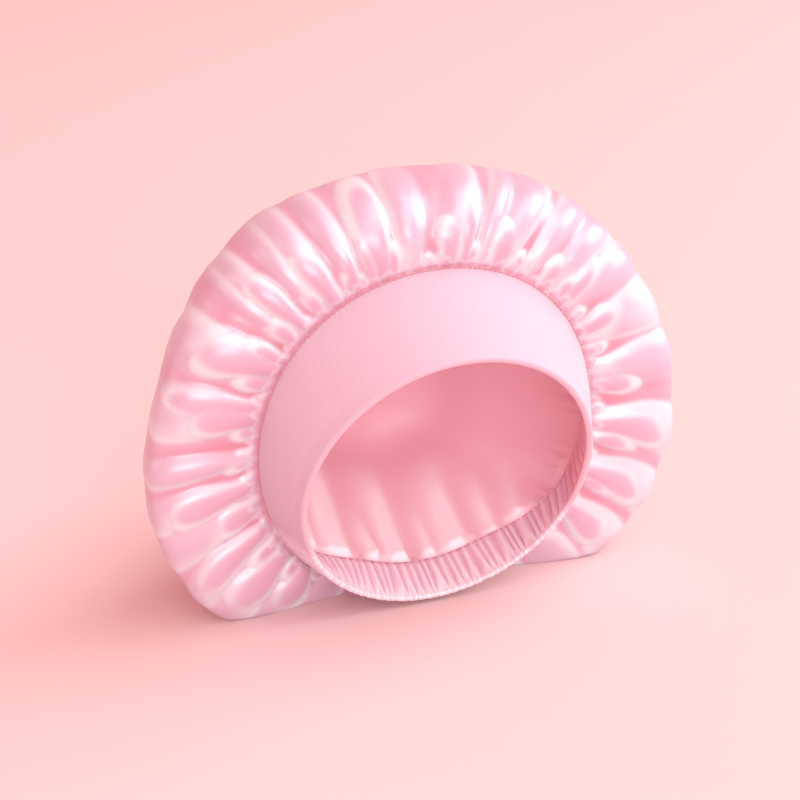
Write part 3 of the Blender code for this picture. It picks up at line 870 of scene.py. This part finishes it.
angle, share, uv = bag_grid(LINING_COLUMNS, LINING_FRONT_ROWS, LINING_BACK_ROWS)
points, paler, deeper = lining_points(angle, share)
lining = closed_bag("lining_satin_bag", points, lining_satin, uv, paler, deeper)
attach(lining, "root")
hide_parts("lining")

# %% [markdown]
# ## The front band
#
# The band is one strip of soft matt cloth, folded double along the rim and sewn into the seam with the crown.
# It has no folds, and its rim is a soft roll. So its section is carried round the mouth: the outer face, the
# roll, and the inner face, a closed loop. The faces swell very slightly between the rim and the seam, and the
# stitches pull shallow dimples along the back edge. The inner face is salmon like the lining, and near the
# band's two ends the elastic already draws it into ribs.

# %% The section of the band, and a closed strip of cloth
RIM_ROLL = 0.0017  # the radius of the rolled rim
FACE_ROWS, ROLL_ROWS = 26, 12
SPREAD, SPREAD_MORE, SPREAD_AT = 0.0014, 0.0018, math.radians(45)  # the rim, wider at the upper left
UV_ROUND = 0.1  # metres of cloth for each radian round the mouth


def strip_section(angle):
    """The section of the band and the casing in rows: outer face, rolled rim and inner face.

    Gives the radius and the depth of every point, how far from the rim it is (0) towards the seam (1), and
    +1 on the outer face, -1 on the inner one, turning from one to the other round the roll.
    """
    width = band_width(angle)
    share = np.linspace(0.0, 1.0, FACE_ROWS, endpoint=False)[:, None]
    roll = np.linspace(0.0, math.pi, ROLL_ROWS)[:, None]
    seam_radius = RIM_RADIUS + BAND_FLARE * width
    outer_radius = seam_radius + (RIM_RADIUS - seam_radius) * share
    outer_depth = width + (RIM_ROLL - width) * share
    inner_radius = seam_radius - BAND_WALL
    inner_radius = inner_radius + (RIM_RADIUS - 2 * RIM_ROLL - inner_radius) * share[::-1]
    roll_out = RIM_RADIUS - RIM_ROLL + RIM_ROLL * np.cos(roll) + 0.0 * width
    roll_deep = RIM_ROLL - RIM_ROLL * np.sin(roll) + 0.0 * width
    radius = np.concatenate((outer_radius, roll_out, inner_radius))
    depth = np.concatenate((outer_depth, roll_deep, outer_depth[::-1]))
    from_rim = np.concatenate((1.0 - share, 0.0 * roll, 1.0 - share[::-1])) + 0.0 * width
    face = np.concatenate((1.0 + 0.0 * share, np.cos(roll), -1.0 + 0.0 * share)) + 0.0 * width
    spread = SPREAD + SPREAD_MORE * np.cos(angle + SPREAD_AT)
    return radius + spread * (1.0 - from_rim) ** 2, depth, from_rim, face


def strip_piece(name, angle, radius, depth, material):
    """A closed strip round part of the mouth: its section's loop all along, and a flat cap at each end."""
    points = mouth_to_world(round_the_mouth(angle, radius, depth))
    points[..., 2] = np.maximum(points[..., 2], SEWN_GAP)
    rows, columns = points.shape[:2]
    index = np.arange(rows * columns).reshape(rows, columns)
    looped = np.concatenate((index, index[:1]))
    sides = (looped[:-1, :-1], looped[1:, :-1], looped[1:, 1:], looped[:-1, 1:])
    caps = []
    for ring in (index[::-1, 0], index[:, -1]):
        near, far = ring[:rows // 2], ring[::-1][:rows // 2]
        caps.append(np.stack((near[:-1], near[1:], far[1:], far[:-1]), axis=-1))
    around = np.cumsum(np.linalg.norm(np.diff(points, axis=0, prepend=points[:1]), axis=-1), axis=0)
    uv = np.stack((np.broadcast_to(angle * UV_ROUND, around.shape), around), axis=-1)
    faces = np.concatenate((np.stack(sides, axis=-1).reshape(-1, 4), *caps))
    return new_piece(name, points, faces, material, uv)


# %% The band
BAND_COLUMNS = 660
STITCH_PITCH, MEAN_WIDTH = 0.0032, 0.052
STITCH_ANGLE = STITCH_PITCH / (RIM_RADIUS + BAND_FLARE * MEAN_WIDTH)
SWELL, WANDER, DIMPLE = 0.0007, 0.0003, 0.00018
LIP, GROOVE, LIP_WIDTH = 0.0004, 0.0003, 0.05
END_RAMP = math.radians(14)  # over which the swell dies out at both ends
DRAWN_FROM, DRAWN_RAMP, DRAWN_END = math.radians(66), math.radians(14), math.radians(2)
DRAWN_RIBS, DRAWN_HEIGHT = 36.0, 0.0028  # ribs of the inner face near the ends: |sin 36 a|


def band_surface():
    """The section with a soft swell 4 t (1 - t), a lip at the rim, dimples at every stitch, a slow wander of
    the cloth, and ribs |sin| where the elastic draws in the inner face."""
    angle = np.linspace(-BAND_END, BAND_END, BAND_COLUMNS + 1)
    radius, depth, from_rim, face = strip_section(angle)
    swell = SWELL * 4 * from_rim * (1 - from_rim)
    lip = LIP * bell(from_rim, 0.02, LIP_WIDTH) - GROOVE * bell(from_rim, 0.14, LIP_WIDTH)
    dimples = -DIMPLE * (1 + np.cos(2 * math.pi * angle / STITCH_ANGLE)) * rises(from_rim, 0.93, 0.05)
    wander = WANDER * smooth_noise(angle, from_rim, (2, 9), (-3, 3), 21) * np.sin(math.pi * from_rim)
    to_end = BAND_END - np.abs(angle)
    inside = np.clip(-face, 0.0, 1.0)
    drawn_in = rises(np.abs(angle), DRAWN_FROM, DRAWN_RAMP) * rises(to_end, 0.0, DRAWN_END)
    drawn_in = drawn_in * inside * rises(from_rim, 0.0, 0.3) * (1 - 0.7 * rises(from_rim, 0.8, 0.1))
    ribs = DRAWN_HEIGHT * (0.5 - np.abs(np.sin(DRAWN_RIBS * angle))) * drawn_in
    ends = rises(to_end, 0.0, END_RAMP)
    return angle, radius + ends * (face * (swell + lip + dimples) + wander) + ribs, depth, inside


angle, radius, depth, inside = band_surface()
band = strip_piece("front_band_cloth", angle, radius, depth, band_matt)
paint(band, "inside", inside.ravel())
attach(band, "root")
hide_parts("front_band")

# %% [markdown]
# ## The nape casing
#
# Round the nape the strip goes on as a casing of satin with elastic inside, which draws it into close to
# forty small ribs. A row of stitches near the seam holds the elastic, so every rib is pinched there. The
# section is the band's, with its inner face drawn in towards the seam, and the ribs are arches |sin|, uneven
# in width, round on the crest and sharp between, which also scallop the rim. A painted highlight parts in two
# legs at each rib's foot, and shade is painted between the ribs.

# %% The casing
CASING_RIBS = 38
CASING_COLUMNS = CASING_RIBS * 14
RIB_HEIGHT, RIB_SCALLOP, RIB_FADE = 0.0017, 0.0006, 0.05
RIB_WANDER, RIB_LEAN, RIB_UNEVENNESS = 0.9, 1.1, 0.3
ARCH_MIDDLE = 0.6  # of an arch, which stands in and out from here
FORK_AT, FORK_UNEVENNESS, LEG_SPREAD, LEG_WIDTH = 0.42, 0.12, 0.6, 0.36
CASING_STITCH, PINCH_WIDTH = 0.90, 0.045  # where from the rim to the seam the elastic is sewn in
PINCH_DEPTH = 0.0003
CREASE_PAINTED_SHADE = 0.35  # how dark the shade painted on the casing between its ribs is


def rib_arches(share, from_rim):
    """|sin f| ^ 0.8 and the highlight painted on a place, where f is pi n s and a wander that leans the ribs.

    The painted highlight lies on each rib as a stem that parts in two legs on the way down to the rim.
    """
    turn = 2 * math.pi * share
    wander = RIB_WANDER * smooth_noise(turn, 0.0, (3, 15), (0, 0), 31)
    lean = RIB_LEAN * smooth_noise(turn, 0.0, (5, 23), (0, 0), 32) * (1 - from_rim)
    phase = math.pi * CASING_RIBS * share + wander + lean
    off_crest = np.abs(2 * (phase / math.pi % 1.0) - 1.0)
    fork = FORK_AT + FORK_UNEVENNESS * smooth_noise(turn, 0.0, (7, 21), (0, 0), 34)
    leg = LEG_SPREAD * np.clip(1.0 - from_rim / fork, 0.0, 1.0)
    return np.abs(np.sin(phase)) ** 0.8, bell(off_crest, leg, LEG_WIDTH)


def casing_surface():
    """The section with the ribs on both faces, pinched where the elastic is sewn, and the rim in scallops."""
    gap = SEWN_GAP / RIM_RADIUS
    share = np.linspace(0.0, 1.0, CASING_COLUMNS + 1)
    angle = BAND_END + gap + share * 2 * (math.pi - BAND_END - gap)
    radius, depth, from_rim, face = strip_section(angle)
    fade = smooth_step(share / RIB_FADE) * smooth_step((1 - share) / RIB_FADE)
    arches, light = rib_arches(share, from_rim)
    arches = arches - ARCH_MIDDLE
    pinch = bell(from_rim, CASING_STITCH, PINCH_WIDTH)
    size = RIB_HEIGHT * (1 + RIB_UNEVENNESS * smooth_noise(2 * math.pi * share, 0.0, (4, 15), (0, 0), 33))
    ribs = size * arches * fade * (1.0 - 0.75 * pinch) * (1.0 - 0.6 * rises(from_rim, 0.9, 0.1))
    ribs = ribs * (0.15 + 0.85 * rises(from_rim, 0.0, 0.22))
    scallop = RIB_SCALLOP * arches * fade * (1 - from_rim) ** 4
    inward = np.clip(-face, 0.0, 1.0) * from_rim * inner_lift(angle)
    # painted highlight on the ribs, and painted shade in the creases between them
    rib_painted_highlight, rib_painted_shade = (0.15 + 0.85 * light) * fade, smooth_step(-arches / 0.5) * fade
    return angle, radius + face * (ribs - PINCH_DEPTH * pinch) - inward, depth - scallop, rib_painted_highlight, rib_painted_shade


angle, radius, depth, rib_painted_highlight, rib_painted_shade = casing_surface()
casing = strip_piece("nape_casing_ribs", angle, radius, depth, casing_satin)
# the painted highlight goes to the satin's rim attribute, the painted shade to its valley attribute
paint(casing, "rim", rib_painted_highlight.ravel())
paint(casing, "valley", CREASE_PAINTED_SHADE * rib_painted_shade.ravel())
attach(casing, "root")
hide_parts("nape_casing")

# %% [markdown]
# ## The stitches
#
# A line of salmon thread closes the seam between the band and the crown, and another holds the elastic in
# the casing. Each stitch is a little capsule of thread that dips into the cloth at both ends. They are all
# made at once: one capsule's rings, carried to every place.

# %% Capsules of thread along a line
STITCH_RADIUS, STITCH_ARCH, STITCH_TIP = 0.00036, 0.00012, 0.12
STITCH_SIDES, STITCH_RINGS = 6, 5
STITCH_SINK = 0.0001  # metres into the cloth
SMALL_STEP = 0.001


def stitch_frames(angle, radius, depth, outward):
    """Middles, directions along the line and directions off the cloth (outward 1 or -1) for stitches."""
    place = mouth_to_world(round_the_mouth(angle, radius, depth))
    ahead = mouth_to_world(round_the_mouth(angle + SMALL_STEP, radius, depth)) - place
    off_cloth = outward * (mouth_to_world(round_the_mouth(angle, radius + SMALL_STEP, depth)) - place)
    return (place, ahead / np.linalg.norm(ahead, axis=-1, keepdims=True),
            off_cloth / np.linalg.norm(off_cloth, axis=-1, keepdims=True))


def stitches(name, angle, radius, depth, outward, length):
    """A row of capsules. Ring k is at -cos(pi k / 4) of half the length, r sin(pi k / 4) wide, on an arch."""
    middles, along, off_cloth = stitch_frames(angle, radius, depth, outward)
    turn = np.linspace(0.0, math.pi, STITCH_RINGS)
    spin = np.linspace(0.0, 2 * math.pi, STITCH_SIDES, endpoint=False)
    across = np.cross(along, off_cloth)
    run = -np.cos(turn) * length / 2
    wide = STITCH_RADIUS * np.maximum(np.sin(turn), STITCH_TIP)
    arch = STITCH_ARCH * np.sin(turn)
    rings = (run[:, None, None] * along[:, None, None]
             + (arch[:, None] + wide[:, None] * np.cos(spin))[..., None] * off_cloth[:, None, None]
             + (wide[:, None] * np.sin(spin))[..., None] * across[:, None, None]) + middles[:, None, None]
    size = STITCH_RINGS * STITCH_SIDES
    ends = [list(range(STITCH_SIDES)), list(range(size - STITCH_SIDES, size))[::-1]]
    one = grid_faces(STITCH_RINGS, STITCH_SIDES).tolist() + ends
    faces = [[corner + shift * size for corner in face] for shift in range(len(middles)) for face in one]
    return new_piece(name, rings, faces, thread)


# %% The two rows of stitches
SEAM_LENGTH, SEAM_FORWARD, SEAM_ENDS = 0.0029, 0.0011, 0.01
ELASTIC_LENGTH, ELASTIC_ANGLE, ELASTIC_START = 0.0022, 0.033, math.radians(72)

angle = np.arange(-BAND_END + SEAM_ENDS, BAND_END - SEAM_ENDS, STITCH_ANGLE)
width = band_width(angle)
seam_stitches = stitches("seam_stitches", angle, RIM_RADIUS + BAND_FLARE * width - STITCH_SINK,
                         width - SEAM_FORWARD, outward=1, length=SEAM_LENGTH)

angle = np.arange(ELASTIC_START, 2 * math.pi - ELASTIC_START, ELASTIC_ANGLE)
width = band_width(angle)
lifted = CASING_STITCH * inner_lift(angle)
radius = RIM_RADIUS + BAND_FLARE * width * CASING_STITCH - BAND_WALL - STITCH_SINK - lifted
casing_stitches = stitches("casing_stitches", angle, radius, width * CASING_STITCH,
                           outward=-1, length=ELASTIC_LENGTH)
for piece, slot in ((seam_stitches, "crown_satin"), (casing_stitches, "casing_satin")):
    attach(piece, "root")

# %% [markdown]
# ## What the cloths were cut from
#
# The crown is one round of satin, as far across as twice the way from the seam to the middle of its back, and
# a little more for the fine gathers. The lining is a smaller round. The band and the casing are strips, each
# two layers thick, and the casing's is gathered to two thirds of its length.

# %% [markdown]
# ## The floor
#
# The floor is pale pink paper, rough enough to mirror nothing.

# %% The floor
FLOOR_COLOUR, FLOOR_ROUGHNESS, FLOOR_GLOSS = (0.80, 0.60, 0.595), 0.9, 0.1
FLOOR_HALF = 6.0


def add_floor():
    corners = np.array(((-1, -1, 0), (1, -1, 0), (1, 1, 0), (-1, 1, 0)), dtype=float) * FLOOR_HALF
    material, _ = new_material("floor_paper", FLOOR_COLOUR, FLOOR_ROUGHNESS,
                               {"Specular IOR Level": FLOOR_GLOSS})
    floor = new_piece("floor", corners, [(0, 1, 2, 3)], material)


add_floor()
